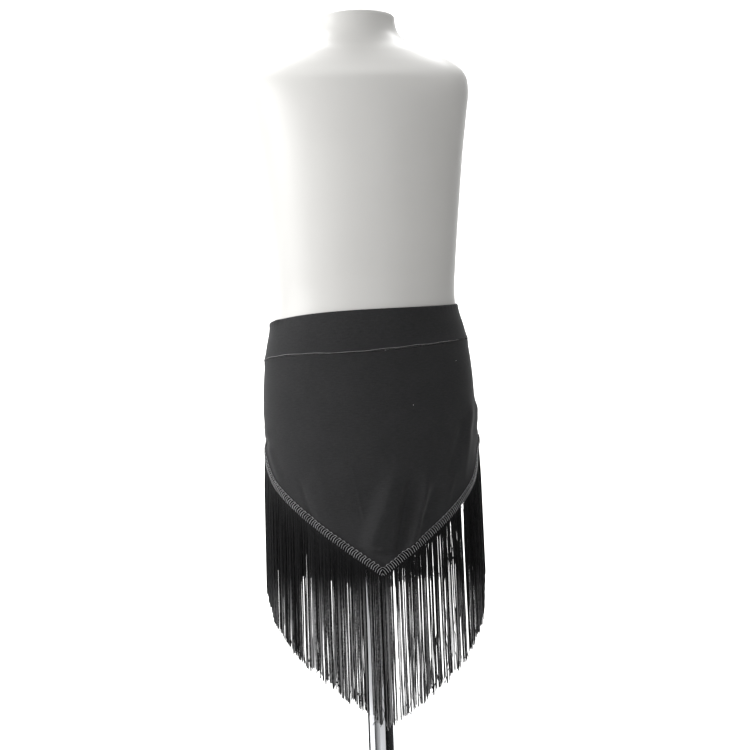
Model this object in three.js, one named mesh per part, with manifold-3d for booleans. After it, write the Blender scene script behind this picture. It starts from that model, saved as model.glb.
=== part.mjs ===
// A fringed mini skirt with a V-shaped front hem, worn by a limbless dress form on a pole stand.
// Millimetres, +Z up, the skirt's front faces -Y and its wearer's left side is +X.
// The origin is the centre of the stand's underside, on the floor.

import * as THREE from 'three';
import { mergeVertices } from 'three/addons/utils/BufferGeometryUtils.js';
import Module from 'manifold-3d';

const wasm = await Module();
wasm.setup();

// ---------------------------------------------------------------- driving dimensions

const waistHeight = 842; // top edge of the waistband above the floor, at the centre
const bandHeight = 38; // waistband, from its top edge to the yoke seam
const frontLength = 253; // waistband's top edge to the point of the front hem
const armSlope = 0.73; // rise of the hem for each millimetre round the front
const armLift = 12; // the hem draws up by this much more towards the side seams
const armLiftFrom = 112; // length round the hip at which that begins
const armLiftFull = 152; // and at which it is whole
const armReach = 182; // length round the hip from the front point to the hem's highest place
const backSlope = 0.2; // fall of the hem for each millimetre from there to the centre back
const hemRounding = 5; // how softly the hem turns over at its highest place
const bandTilt = 0.07; // the band sits this much higher for each millimetre towards +X
const hemTilt = -0.015; // and the hem this much lower
const bandTwist = 2.5; // the top edge rides up by this much at one side of the front, and sinks at the other

const knitThickness = 1.2;
const bandThickness = 1.7; // the band is folded double
const ease = 0.5; // room between the dress form and the cloth
const seamGap = 0.3; // two pieces that are sewn together lie this far apart
const seamRidge = 0.8; // the seam allowance lifts the cloth beside the yoke seam
const seamRidgeReach = 5;

const braidWidth = 7; // the fringe's woven heading
const braidThickness = 1.6;
const braidLift = 0.5; // clearance between the heading and the cloth under it
const braidBelowHem = 1.2; // the heading hides the cloth's cut edge
const fringeLength = 140;
const fringeTrim = 0.035; // the fringe is this much longer for each millimetre towards +X
const strandsPerSide = 116;
const strandWidth = 1.5;
const strandDepth = 1.1;
const strandRoot = 1.4; // how far a strand runs up into the heading
const endRaggedness = 3;
const strandSway = 1.6;
const headingColumns = 47;

const poleRadius = 12.5;
const socketDepth = 70;
const slipFit = 0.3;
const baseRadius = 135;
const baseThickness = 6;
const baseEdge = 1.5;
const collarRadius = 21;
const collarHeight = 18;
const boreSides = 32;
const baseSides = 48;
const domeRise = 5; // the neck's top is slightly crowned

// Cross-sections of the dress form, as ellipses. The lowest row is its underside's rim.
const formSections = [
  { height: 712, halfWidth: 88.5, halfDepth: 69, centreY: 3 },
  { height: 715, halfWidth: 95.5, halfDepth: 75.5, centreY: 3.2 },
  { height: 723, halfWidth: 101.2, halfDepth: 80.6, centreY: 3.5 },
  { height: 738, halfWidth: 103.9, halfDepth: 83, centreY: 3.6 },
  { height: 760, halfWidth: 103.9, halfDepth: 82.6, centreY: 3.2 },
  { height: 785, halfWidth: 102.3, halfDepth: 80.4, centreY: 2.4 },
  { height: 806, halfWidth: 99.6, halfDepth: 77.7, centreY: 1.6 },
  { height: 825, halfWidth: 95.6, halfDepth: 74.4, centreY: 1 },
  { height: 845, halfWidth: 90.2, halfDepth: 71.2, centreY: 0.5 },
  { height: 866, halfWidth: 89.4, halfDepth: 69.6, centreY: 0 },
  { height: 888, halfWidth: 91, halfDepth: 71.3, centreY: -0.3 },
  { height: 910, halfWidth: 93, halfDepth: 73.5, centreY: -0.5 },
  { height: 935, halfWidth: 95.4, halfDepth: 76.3, centreY: -0.8 },
  { height: 960, halfWidth: 98, halfDepth: 78.5, centreY: -1 },
  { height: 983, halfWidth: 100.4, halfDepth: 79.9, centreY: -0.8 },
  { height: 1005, halfWidth: 103, halfDepth: 80.5, centreY: -0.5 },
  { height: 1040, halfWidth: 108, halfDepth: 77.5, centreY: 1 },
  { height: 1065, halfWidth: 111, halfDepth: 70, centreY: 2.5 },
  { height: 1082, halfWidth: 107, halfDepth: 60, centreY: 3.5 },
  { height: 1097, halfWidth: 88, halfDepth: 50, centreY: 4 },
  { height: 1108, halfWidth: 62, halfDepth: 42.5, centreY: 4 },
  { height: 1118, halfWidth: 45.5, halfDepth: 38, centreY: 3.5 },
  { height: 1128, halfWidth: 40, halfDepth: 36, centreY: 3 },
  { height: 1138, halfWidth: 39, halfDepth: 35.5, centreY: 3 },
];
const hipHeight = 738; // below its widest place the cloth leaves the form and hangs plumb
const formSides = 44;

// Soft folds in the free flap above the front point. around is the length round the hip from the
// centre front, lean is how far a fold drifts sideways for each millimetre down.
const flapFolds = [
  { around: -58, width: 7, lift: 1.6, lean: 0.3 },
  { around: -17, width: 9, lift: 2.6, lean: 0.12 },
  { around: 9, width: 11, lift: 4.2, lean: -0.14 },
  { around: 41, width: 10, lift: 3.8, lean: -0.16 },
  { around: 86, width: 8, lift: 2, lean: -0.12 },
];
const foldTop = 725; // folds fade in below this height
const foldFull = 650; // and have their whole depth here

const tiny = 1e-3; // the step that slopes are measured over
const quarter = Math.PI / 2;

// ---------------------------------------------------------------- sections and the hem

// A smooth curve through one column of the form's sections.
function column(name, height) {
  const last = formSections.length - 1;
  const row = (k) => formSections[THREE.MathUtils.clamp(k, 0, last)];
  if (height <= row(0).height) return row(0)[name];
  if (height >= row(last).height) return row(last)[name];
  let i = 0;
  while (height > row(i + 1).height) i += 1;
  const slope = (k) => {
    const [below, above] = [row(k - 1), row(k + 1)];
    return (above[name] - below[name]) / (above.height - below.height);
  };
  const span = row(i + 1).height - row(i).height;
  const t = (height - row(i).height) / span;
  const [t2, t3] = [t * t, t * t * t];
  return (2 * t3 - 3 * t2 + 1) * row(i)[name] + (t3 - 2 * t2 + t) * span * slope(i)
    + (3 * t2 - 2 * t3) * row(i + 1)[name] + (t3 - t2) * span * slope(i + 1);
}

// A point on the form, moved out: angle 0 is the centre front, and it grows towards +X.
function formPoint(angle, height, out) {
  const halfWidth = column('halfWidth', height) + out;
  const halfDepth = column('halfDepth', height) + out;
  const centreY = column('centreY', height);
  return new THREE.Vector3(halfWidth * Math.sin(angle), centreY - halfDepth * Math.cos(angle), height);
}

// Length round the hip from the centre front to an angle, negative towards -X.
const arcSteps = 720;
const arcTable = [0];
for (let i = 1; i <= arcSteps; i += 1) {
  const before = formPoint(((i - 1) / arcSteps) * Math.PI, hipHeight, ease);
  const here = formPoint((i / arcSteps) * Math.PI, hipHeight, ease);
  arcTable.push(arcTable[i - 1] + before.distanceTo(here));
}
function arcAt(angle) {
  const turned = Math.atan2(Math.sin(angle), Math.cos(angle));
  const place = (Math.abs(turned) / Math.PI) * arcSteps;
  const i = Math.min(Math.floor(place), arcSteps - 1);
  return Math.sign(turned) * THREE.MathUtils.lerp(arcTable[i], arcTable[i + 1], place - i);
}

const halfWidthAtHip = column('halfWidth', hipHeight);
const outward = (angle) => new THREE.Vector3(Math.sin(angle), -Math.cos(angle), 0);

// Heights of the skirt's three edges at an angle round the body.
function hemHeight(angle) {
  const arc = Math.abs(arcAt(angle));
  const drawnUp = armLift * THREE.MathUtils.smoothstep(arc, armLiftFrom, armLiftFull);
  const frontLine = waistHeight - frontLength + armSlope * arc + drawnUp;
  const peak = waistHeight - frontLength + armSlope * armReach;
  const backLine = peak - backSlope * (arc - armReach);
  const apart = Math.abs(backLine - frontLine) / hemRounding;
  const turned = Math.min(frontLine, backLine) - hemRounding * Math.log1p(Math.exp(-apart));
  return turned + hemTilt * halfWidthAtHip * Math.sin(angle);
}
function bandEdge(angle, middle) {
  return middle + bandTilt * halfWidthAtHip * Math.sin(angle);
}
const seamHeight = (angle) => bandEdge(angle, waistHeight - bandHeight);
const waistEdge = (angle) => bandEdge(angle, waistHeight) - bandTwist * Math.sin(2 * angle);

// The inner face of the cloth. It lies on the form down to the hip and hangs plumb below it.
function clothPoint(angle, height) {
  const point = formPoint(angle, Math.max(height, hipHeight), ease).setZ(height);
  const fade = THREE.MathUtils.smoothstep(foldTop - height, 0, foldTop - foldFull);
  const arc = arcAt(angle);
  let lift = 0;
  for (const fold of flapFolds) {
    const middle = fold.around + fold.lean * (foldFull - height);
    lift += fold.lift * Math.exp(-(((arc - middle) / fold.width) ** 2));
  }
  const toSeam = (height - seamHeight(angle)) / seamRidgeReach;
  lift = lift * fade + seamRidge * Math.exp(-toSeam * toSeam);
  return point.addScaledVector(outward(angle), lift);
}

// ---------------------------------------------------------------- solids

const steps = (from, to, count) =>
  Array.from({ length: count + 1 }, (_, i) => THREE.MathUtils.lerp(from, to, i / count));

function geometryOf(positions, triangles) {
  const geometry = new THREE.BufferGeometry();
  geometry.setAttribute('position', new THREE.Float32BufferAttribute(positions, 3));
  geometry.setIndex(triangles);
  geometry.computeVertexNormals();
  return geometry;
}

function solidOf(geometry) {
  return new wasm.Manifold(new wasm.Mesh({
    numProp: 3,
    vertProperties: new Float32Array(geometry.attributes.position.array),
    triVerts: new Uint32Array(geometry.index.array),
  }));
}

function geometryFromSolid(solid) {
  const mesh = solid.getMesh();
  return geometryOf(Array.from(mesh.vertProperties), Array.from(mesh.triVerts));
}

// A round piece about the pole's axis, from its profile of radius and height.
function lathe(profile, segments) {
  const points = profile.map(([radius, height]) => new THREE.Vector2(radius, height));
  return new THREE.LatheGeometry(points, segments).rotateX(quarter);
}

function roundBar(radius, low, high) {
  return lathe([[0, low], [radius, low], [radius, high], [0, high]], boreSides);
}

// A point of a surface of two coordinates, moved out along its normal.
function moved(surface, u, v, out) {
  const alongU = surface(u + tiny, v).sub(surface(u - tiny, v));
  const alongV = surface(u, v + tiny).sub(surface(u, v - tiny));
  return surface(u, v).addScaledVector(alongU.cross(alongV).normalize(), out);
}

// A wall of cloth over a grid of a surface, its outer face one thickness out from the inner one.
// The rows run upwards and the columns run towards +X as seen from the front.
function wall(surface, us, vs, thickness) {
  const positions = [];
  for (const out of [0, thickness]) {
    for (const v of vs) {
      for (const u of us) positions.push(...moved(surface, u, v, out).toArray());
    }
  }
  const wide = us.length;
  const layer = wide * vs.length;
  const at = (side, row, col) => side * layer + row * wide + col;
  const triangles = [];
  const quad = (a, b, c, d) => triangles.push(a, b, c, a, c, d);
  for (let row = 0; row < vs.length - 1; row += 1) {
    for (let col = 0; col < wide - 1; col += 1) {
      quad(at(1, row, col), at(1, row, col + 1), at(1, row + 1, col + 1), at(1, row + 1, col));
      quad(at(0, row, col), at(0, row + 1, col), at(0, row + 1, col + 1), at(0, row, col + 1));
    }
  }
  const top = vs.length - 1;
  for (let col = 0; col < wide - 1; col += 1) {
    quad(at(0, 0, col), at(0, 0, col + 1), at(1, 0, col + 1), at(1, 0, col));
    quad(at(1, top, col), at(1, top, col + 1), at(0, top, col + 1), at(0, top, col));
  }
  const end = wide - 1;
  for (let row = 0; row < top; row += 1) {
    quad(at(1, row, 0), at(1, row + 1, 0), at(0, row + 1, 0), at(0, row, 0));
    quad(at(0, row, end), at(0, row + 1, end), at(1, row + 1, end), at(1, row, end));
  }
  return geometryOf(positions, triangles);
}

// Half of the gap of an upright seam, as an angle. It is measured where an angle spans least.
const halfSeam = seamGap / 2 / column('halfDepth', hipHeight);

function panel(from, to, columns, rows) {
  const surface = (angle, share) => clothPoint(
    angle,
    THREE.MathUtils.lerp(hemHeight(angle), seamHeight(angle) - seamGap / 2, share),
  );
  return wall(surface, steps(from + halfSeam, to - halfSeam, columns), rows, knitThickness);
}

function bandPiece(from, to, columns) {
  const rows = [0, 0.1, 0.25, 0.5, 0.75, 1];
  const surface = (angle, share) => clothPoint(
    angle,
    THREE.MathUtils.lerp(seamHeight(angle) + seamGap / 2, waistEdge(angle), share),
  );
  return wall(surface, steps(from + halfSeam, to - halfSeam, columns), rows, bandThickness);
}

// ---------------------------------------------------------------- braid and fringe

// The heading follows the hem's slope, so its upright height grows as the hem gets steeper.
function braidRise(angle) {
  const run = Math.abs(arcAt(angle + tiny) - arcAt(angle - tiny));
  const rise = hemHeight(angle + tiny) - hemHeight(angle - tiny);
  return braidWidth * Math.hypot(1, rise / run);
}

// A point of the cloth under the heading, moved out. share runs up from the heading's lower edge.
function braidPoint(angle, share, out) {
  const height = hemHeight(angle) - braidBelowHem + share * braidRise(angle);
  return moved(clothPoint, angle, height, out);
}

// One strand: a three-sided prism down a plumb line that sways a little towards its end.
function strand(root, tangent, out, length, sway) {
  const levels = [0, 0.5, 1];
  const corners = [
    { aside: strandWidth / 2, ahead: strandDepth / 2 },
    { aside: 0, ahead: -strandDepth / 2 },
    { aside: -strandWidth / 2, ahead: strandDepth / 2 },
  ];
  const sides = corners.length;
  const positions = [];
  const triangles = [];
  for (const level of levels) {
    const middle = root.clone();
    middle.z -= level * length;
    middle.addScaledVector(tangent, sway * level * level);
    for (const { aside, ahead } of corners) {
      const corner = middle.clone().addScaledVector(tangent, aside).addScaledVector(out, ahead);
      positions.push(...corner.toArray());
    }
  }
  for (let level = 0; level < levels.length - 1; level += 1) {
    for (let side = 0; side < sides; side += 1) {
      const next = (side + 1) % sides;
      const [a, b] = [level * sides + side, level * sides + next];
      triangles.push(a, b + sides, b, a, a + sides, b + sides);
    }
  }
  const last = (levels.length - 1) * sides;
  triangles.push(0, 1, 2, last, last + 2, last + 1);
  return solidOf(geometryOf(positions, triangles));
}

// Angles of places that are evenly spaced along the heading's lower edge.
function evenPlaces(side, count, out) {
  const angles = steps(0, Math.PI, 600).map((angle) => angle * side);
  const points = angles.map((angle) => braidPoint(angle, 0, out));
  const along = [0];
  for (let i = 1; i < points.length; i += 1) {
    along.push(along[i - 1] + points[i].distanceTo(points[i - 1]));
  }
  const pitch = along[along.length - 1] / count;
  let i = 1;
  return Array.from({ length: count }, (_, k) => {
    const place = (k + 0.5) * pitch;
    while (along[i] < place) i += 1;
    const share = (place - along[i - 1]) / (along[i] - along[i - 1]);
    return THREE.MathUtils.lerp(angles[i - 1], angles[i], share);
  });
}

// The heading and fringe of one side, from the front point round to the centre back.
// side is 1 for the wearer's left and -1 for the right.
function fringe(side) {
  const columns = steps(halfSeam, Math.PI - halfSeam, headingColumns).map((angle) => angle * side);
  if (side < 0) columns.reverse();
  const surface = (angle, share) => braidPoint(angle, share, knitThickness + braidLift);
  let comb = solidOf(wall(surface, columns, [0, 1], braidThickness));
  const middle = knitThickness + braidLift + braidThickness / 2;
  evenPlaces(side, strandsPerSide, middle).forEach((angle, k) => {
    const root = braidPoint(angle, 0, middle);
    root.z += strandRoot;
    const ahead = braidPoint(angle + tiny, 0, middle);
    const tangent = ahead.sub(braidPoint(angle - tiny, 0, middle)).setZ(0).normalize();
    const ragged = endRaggedness * (0.6 * Math.sin(k * 2.4) + 0.4 * Math.sin(k * 0.83 + side));
    const sway = strandSway * (0.75 * Math.sin(k * 0.23 + side) + 0.25 * Math.sin(k * 0.71));
    const length = strandRoot + fringeLength + fringeTrim * root.x + ragged;
    comb = comb.add(strand(root, tangent, outward(angle), length, sway));
  });
  return geometryFromSolid(comb);
}

// ---------------------------------------------------------------- dress form and stand

function dressForm() {
  const positions = [];
  const triangles = [];
  const around = (k) => (k % formSides) * ((2 * Math.PI) / formSides);
  for (const { height } of formSections) {
    for (let k = 0; k < formSides; k += 1) {
      positions.push(...formPoint(around(k), height, 0).toArray());
    }
  }
  for (let row = 0; row < formSections.length - 1; row += 1) {
    for (let k = 0; k < formSides; k += 1) {
      const [a, b] = [row * formSides + k, row * formSides + ((k + 1) % formSides)];
      triangles.push(a, b, b + formSides, a, b + formSides, a + formSides);
    }
  }
  const [lowest, highest] = [formSections[0], formSections[formSections.length - 1]];
  const bottom = positions.length / 3;
  positions.push(0, lowest.centreY, lowest.height);
  positions.push(0, highest.centreY, highest.height + domeRise);
  const rim = (formSections.length - 1) * formSides;
  for (let k = 0; k < formSides; k += 1) {
    const next = (k + 1) % formSides;
    triangles.push(next, k, bottom, rim + k, rim + next, bottom + 1);
  }
  const overrun = 10; // the cutter starts this far below the underside
  const socketTop = lowest.height + socketDepth;
  const cutter = roundBar(poleRadius + slipFit, lowest.height - overrun, socketTop);
  cutter.deleteAttribute('normal');
  cutter.deleteAttribute('uv');
  const socket = solidOf(mergeVertices(cutter));
  return geometryFromSolid(solidOf(geometryOf(positions, triangles)).subtract(socket));
}

function pole() {
  const high = formSections[0].height + socketDepth - slipFit;
  return roundBar(poleRadius, baseThickness + slipFit, high);
}

function collar() {
  const bore = poleRadius + slipFit;
  const low = baseThickness + slipFit;
  const high = low + collarHeight;
  return lathe([
    [bore, low],
    [collarRadius, low],
    [collarRadius, high - baseEdge],
    [collarRadius - baseEdge, high],
    [bore, high],
    [bore, low],
  ], boreSides);
}

function base() {
  return lathe([
    [0, 0],
    [baseRadius - baseEdge, 0],
    [baseRadius, baseEdge],
    [baseRadius, baseThickness - baseEdge],
    [baseRadius - baseEdge, baseThickness],
    [0, baseThickness],
  ], baseSides);
}

// ---------------------------------------------------------------- the object

const knit = new THREE.MeshStandardMaterial({ color: 0x1d1d1e, roughness: 0.85, metalness: 0 });
const rayon = new THREE.MeshStandardMaterial({ color: 0x121213, roughness: 0.5, metalness: 0 });
const formSkin = new THREE.MeshStandardMaterial({ color: 0xe9e8e4, roughness: 0.55, metalness: 0 });
const chrome = new THREE.MeshStandardMaterial({ color: 0xc9cacc, roughness: 0.12, metalness: 1 });
const steel = new THREE.MeshStandardMaterial({ color: 0xb4b6b8, roughness: 0.35, metalness: 1 });

const frontRows = [0, 0.03, 0.1, 0.19, 0.28, 0.38, 0.48, 0.58, 0.68, 0.78, 0.88, 0.965, 1];
const backRows = [0, 0.06, 0.2, 0.35, 0.5, 0.65, 0.8, 0.94, 1];

const skirt = new THREE.Group();
function addPiece(name, geometry, material) {
  const mesh = new THREE.Mesh(geometry, material);
  mesh.name = name;
  skirt.add(mesh);
}

addPiece('band_front', bandPiece(-quarter, quarter, 36), knit);
addPiece('band_back', bandPiece(quarter, 3 * quarter, 36), knit);
addPiece('panel_front', panel(-quarter, quarter, 48, frontRows), knit);
addPiece('panel_back', panel(quarter, 3 * quarter, 40, backRows), knit);
addPiece('fringe_left', fringe(1), rayon);
addPiece('fringe_right', fringe(-1), rayon);
addPiece('dress_form', dressForm(), formSkin);
addPiece('stand_pole', pole(), chrome);
addPiece('stand_collar', collar(), chrome);
addPiece('stand_base', base(), steel);

export default skirt;
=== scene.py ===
# %% [markdown]
# # A fringed mini skirt on a dress form
#
# A black stretch skirt with a pointed front hem hangs on a white torso, which stands on a chromed pole.
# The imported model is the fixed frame: its solids say where everything is, and the pieces made below are
# finer skins that stand in their places. Lengths are named in millimetres, as a pattern cutter would
# write them, and turned to Blender's metres where points are made.

import math
import random

import bmesh
import bpy
from mathutils import Matrix, Vector


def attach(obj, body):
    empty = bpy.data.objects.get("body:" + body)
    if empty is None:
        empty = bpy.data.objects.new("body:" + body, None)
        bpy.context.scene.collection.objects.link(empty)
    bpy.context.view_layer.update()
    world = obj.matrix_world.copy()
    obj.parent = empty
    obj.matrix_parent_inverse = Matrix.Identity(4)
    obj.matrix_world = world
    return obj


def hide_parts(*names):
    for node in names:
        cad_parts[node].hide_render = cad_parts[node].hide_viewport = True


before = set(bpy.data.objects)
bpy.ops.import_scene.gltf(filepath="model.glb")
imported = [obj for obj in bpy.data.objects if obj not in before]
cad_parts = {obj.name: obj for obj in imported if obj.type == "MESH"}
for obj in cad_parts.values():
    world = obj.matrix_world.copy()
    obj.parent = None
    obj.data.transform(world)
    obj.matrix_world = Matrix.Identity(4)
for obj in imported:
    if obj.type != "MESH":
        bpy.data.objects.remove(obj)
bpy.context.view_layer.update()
print("frame nodes:", sorted(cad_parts))

MM = 0.001
dice = random.Random(7)


def metres(x, y, z):
    return Vector((x, y, z)) * MM


# %% [markdown]
# ## Camera
#
# The camera stands a metre and a half from the pole, level with the wearer's hips, a little towards the
# wearer's right. It is rolled by two degrees, so plumb strands lean slightly in the render.

# %% Camera
camera_distance = 1500
camera_height = 760
camera_azimuth = math.radians(-5)
camera_pitch = math.radians(0.76)
camera_roll = math.radians(-2)
focal_length = 72
sensor_width = 36
render_width = 750
axis_left_of_middle = 6.5  # where the pole's axis is in the render, in pixels

focal_pixels = focal_length / sensor_width * render_width
yaw = math.atan2(axis_left_of_middle, focal_pixels) - camera_azimuth
forward = Vector((math.sin(yaw), math.cos(yaw), math.tan(camera_pitch))).normalized()
right = forward.cross(Vector((0, 0, 1))).normalized()
up = right.cross(forward)
level = Matrix((right, up, -forward)).transposed().to_4x4()

camera = bpy.data.objects.new("camera", bpy.data.cameras.new("camera"))
camera.data.lens = focal_length
camera.data.sensor_width = sensor_width
camera_place = metres(
    camera_distance * math.sin(camera_azimuth),
    -camera_distance * math.cos(camera_azimuth),
    camera_height,
)
camera.matrix_world = Matrix.Translation(camera_place) @ level @ Matrix.Rotation(camera_roll, 4, "Z")
bpy.context.collection.objects.link(camera)
bpy.context.scene.camera = camera
print("camera at", [round(v, 3) for v in camera_place])

# %% [markdown]
# ## The figure under the cloth
#
# A dress form is easiest to describe by cross-sections: at each height, half a width, half a depth and
# how far the middle sits back. A smooth curve through each column gives every height in between. The
# skirt is made from the same sections, moved out by the thickness of the cloth, so it fits by itself.

# %% Sections of the form
# height, half width, half depth, centre towards the back
form_sections = [
    (712, 88.5, 69, 3),
    (715, 95.5, 75.5, 3.2),
    (723, 101.2, 80.6, 3.5),
    (738, 103.9, 83, 3.6),
    (760, 103.9, 82.6, 3.2),
    (785, 102.3, 80.4, 2.4),
    (806, 99.6, 77.7, 1.6),
    (825, 95.6, 74.4, 1),
    (845, 90.2, 71.2, 0.5),
    (866, 89.4, 69.6, 0),
    (888, 91, 71.3, -0.3),
    (910, 93, 73.5, -0.5),
    (935, 95.4, 76.3, -0.8),
    (960, 98, 78.5, -1),
    (983, 100.4, 79.9, -0.8),
    (1005, 103, 80.5, -0.5),
    (1040, 108, 77.5, 1),
    (1065, 111, 70, 2.5),
    (1082, 107, 60, 3.5),
    (1097, 88, 50, 4),
    (1108, 62, 42.5, 4),
    (1118, 45.5, 38, 3.5),
    (1128, 40, 36, 3),
    (1138, 39, 35.5, 3),
]
hip_height = 738  # below its widest place the cloth leaves the form and hangs plumb


def section_at(height):
    """Half width, half depth and centre of the form, on a smooth curve through its sections."""
    rows = form_sections
    if height <= rows[0][0]:
        return rows[0][1:]
    if height >= rows[-1][0]:
        return rows[-1][1:]
    i = 0
    while height > rows[i + 1][0]:
        i += 1
    before, low = rows[max(i - 1, 0)], rows[i]
    high, after = rows[i + 1], rows[min(i + 2, len(rows) - 1)]
    span = high[0] - low[0]
    t = (height - low[0]) / span
    values = []
    for k in (1, 2, 3):
        slope_low = (high[k] - before[k]) / (high[0] - before[0]) * span
        slope_high = (after[k] - low[k]) / (after[0] - low[0]) * span
        values.append(
            (2 * t**3 - 3 * t**2 + 1) * low[k]
            + (t**3 - 2 * t**2 + t) * slope_low
            + (3 * t**2 - 2 * t**3) * high[k]
            + (t**3 - t**2) * slope_high
        )
    return values


def form_point(angle, height, out=0.0):
    """A point moved out from the form, in millimetres. Angle 0 is the centre front, and +X is at 90 degrees."""
    half_width, half_depth, centre = section_at(height)
    return Vector((
        (half_width + out) * math.sin(angle),
        centre - (half_depth + out) * math.cos(angle),
        height,
    ))


arc_steps = 720
ease = 0.5
arc_table = [0.0]
for step in range(arc_steps):
    here = form_point(step / arc_steps * math.pi, hip_height, ease)
    there = form_point((step + 1) / arc_steps * math.pi, hip_height, ease)
    arc_table.append(arc_table[-1] + (there - here).length)


def arc_at(angle):
    """Length round the hip from the centre front, negative towards -X."""
    turned = math.atan2(math.sin(angle), math.cos(angle))
    place = abs(turned) / math.pi * arc_steps
    i = min(int(place), arc_steps - 1)
    length = arc_table[i] + (arc_table[i + 1] - arc_table[i]) * (place - i)
    return math.copysign(length, turned)


print("hips round the cloth: %.0f mm" % (2 * arc_table[-1]))

# %% [markdown]
# ## The skirt's cut and how it hangs
#
# The skirt is a tube of jersey: a yoke band on top, then a front and a back panel. The front hem runs
# down to a point. Laid flat, each arm of the point is a straight line, so its height is worked out from
# the length round the hip. A few wide folds form where the flap hangs free of the form, and finer
# creases lie on them. Each crease is a soft ridge or trough along a short line on the cloth.

# %% Edges of the skirt
waist_height = 842
band_height = 38
front_length = 253  # from the waist down to the front point
arm_slope = 0.73  # from there the hem rises by this for each millimetre round the hip
arm_lift, arm_lift_from, arm_lift_full = 12, 112, 152  # and a little more at the sides
arm_reach = 182  # where it is highest
back_slope = 0.2  # then it falls to a shallow point at the back
hem_rounding = 5
band_tilt, hem_tilt = 0.07, -0.015  # worn, the band sits higher on +X and the hem lower
band_twist = 2.5
half_width_at_hip = section_at(hip_height)[0]


def hem_height(angle):
    arc = abs(arc_at(angle))
    share = min(1.0, max(0.0, (arc - arm_lift_from) / (arm_lift_full - arm_lift_from)))
    drawn_up = arm_lift * share * share * (3 - 2 * share)
    front_line = waist_height - front_length + arm_slope * arc + drawn_up
    peak = waist_height - front_length + arm_slope * arm_reach
    back_line = peak - back_slope * (arc - arm_reach)
    apart = abs(back_line - front_line) / hem_rounding
    turned = min(front_line, back_line) - hem_rounding * math.log1p(math.exp(-apart))
    return turned + hem_tilt * half_width_at_hip * math.sin(angle)


def band_edge(angle, middle):
    return middle + band_tilt * half_width_at_hip * math.sin(angle)


seam_wave = 2.3  # worn, the yoke seam wanders down and up by this
seam_wave_length, seam_wave_start = 130, -45  # half a wave's length, and where one starts round the hip
seam_wave_end, seam_wave_fade = 165, 40  # past the sides it dies out, over the last 40 mm


def seam_height(angle):
    arc = arc_at(angle)
    wave = math.sin(math.pi * (arc - seam_wave_start) / seam_wave_length)
    fade = max(0.0, min(1.0, (seam_wave_end - abs(arc)) / seam_wave_fade))
    return band_edge(angle, waist_height - band_height) - seam_wave * wave * fade


def waist_edge(angle):
    return band_edge(angle, waist_height) - band_twist * math.sin(2 * angle)


print("waist at %.0f mm, yoke seam at %.0f mm" % (waist_edge(0), seam_height(0)))

# %% Folds and creases
# where the line starts and ends, as length round the hip and height; then its width and its lift. Where a
# fold grows more softly at its top than crease_end, a fifth value gives that length
creases = [
    # the wide folds of the free flap
    ((7, 661), (-8, 621), 9.4, 6.8, 24),
    ((27.5, 660), (18, 619), 5, -6.4, 18),
    ((40.5, 661), (28, 620), 6, 6.4, 22),
    ((58, 668), (46, 644), 6, -3.4),
    ((-60, 690), (-46, 634), 8, 1.2),
    ((93, 721), (76, 686), 6, -1.8),
    ((114, 738), (93, 684), 8, 1.8),
    # finer creases
    ((-27, 688), (-18, 643), 1.0, -0.16),
    ((-25, 688), (-16, 643), 1.2, 0.2),
    ((-11, 613.4), (14, 611.4), 1.5, -1.2),
    ((-8, 606.5), (9, 605), 3.4, 1.3),
    ((-76, 671), (-66, 643), 2.2, -0.8),
    ((-67, 671), (-57, 643), 5.5, 1.1),
    ((-124, 712), (-108, 686), 5, 1.0),
    ((80, 680), (69, 654), 2.8, 1.1),
    ((98, 706), (90, 676), 4, -0.6),
    # the sides, where the cloth leaves the form
    ((-172, 721), (-128, 716), 4.2, -1.4),
    ((-166, 731), (-132, 727), 4, 0.6),
    ((120, 722), (158, 727), 5, -0.8),
    ((146, 742), (150, 712), 15, 3.6),
    ((-150, 722), (-152, 708), 10, -1.2),
    # the band stands off a little at one side of the waist
    ((-168, 843), (-122, 844), 10, 5.6),
    # the back
    ((-196, 760), (-186, 716), 7, 0.9),
    ((-236, 752), (-222, 706), 6, 1.1),
    ((-262, 744), (-268, 702), 5, -0.8),
    ((230, 756), (222, 712), 7, 1.0),
    ((254, 742), (262, 700), 5, -0.7),
    ((205, 724), (240, 718), 3, 0.5),
]
crease_end = 9  # a crease fades out over this length
seam_ridge = 0.8
seam_ridge_reach = 5


def crease_lift(arc, height, crease):
    (arc_from, high), (arc_to, low), width, lift, *grown = crease
    crease_start = grown[0] if grown else crease_end
    along = Vector((arc_to - arc_from, low - high))
    length = along.length
    along.normalize()
    here = Vector((arc - arc_from, height - high))
    down = here.dot(along)
    if down < -3 * crease_start or down > length + 3 * crease_end:
        return 0.0
    aside = here.x * along.y - here.y * along.x
    if abs(aside) > 3 * width:
        return 0.0
    past = max(-down / crease_start, (down - length) / crease_end, 0.0)
    return lift * math.exp(-((aside / width) ** 2) - past**2)


def cloth_point(angle, height, out=0.0):
    """A point moved out from the cloth's inner face, in millimetres."""
    arc = arc_at(angle)
    point = form_point(angle, max(height, hip_height), ease + out)
    to_seam = (height - seam_height(angle)) / seam_ridge_reach
    lift = seam_ridge * math.exp(-to_seam * to_seam)
    lift += sum(crease_lift(arc, height, crease) for crease in creases)
    outward = Vector((math.sin(angle), -math.cos(angle), 0))
    point += outward * lift
    point.z = height
    return point


print("front hem point at %.0f mm, side hem at %.0f mm" % (hem_height(0), hem_height(math.pi / 2)))

# %% [markdown]
# ## Making cloth
#
# A piece of cloth starts as a flat grid. Each grid point is moved to its place on the body, and its UV
# is the place on the flat cut, in metres, so that a knit pattern keeps its real size. A Solidify
# modifier then gives the grid the thickness of the fabric, inwards, with closed edges.

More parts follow.
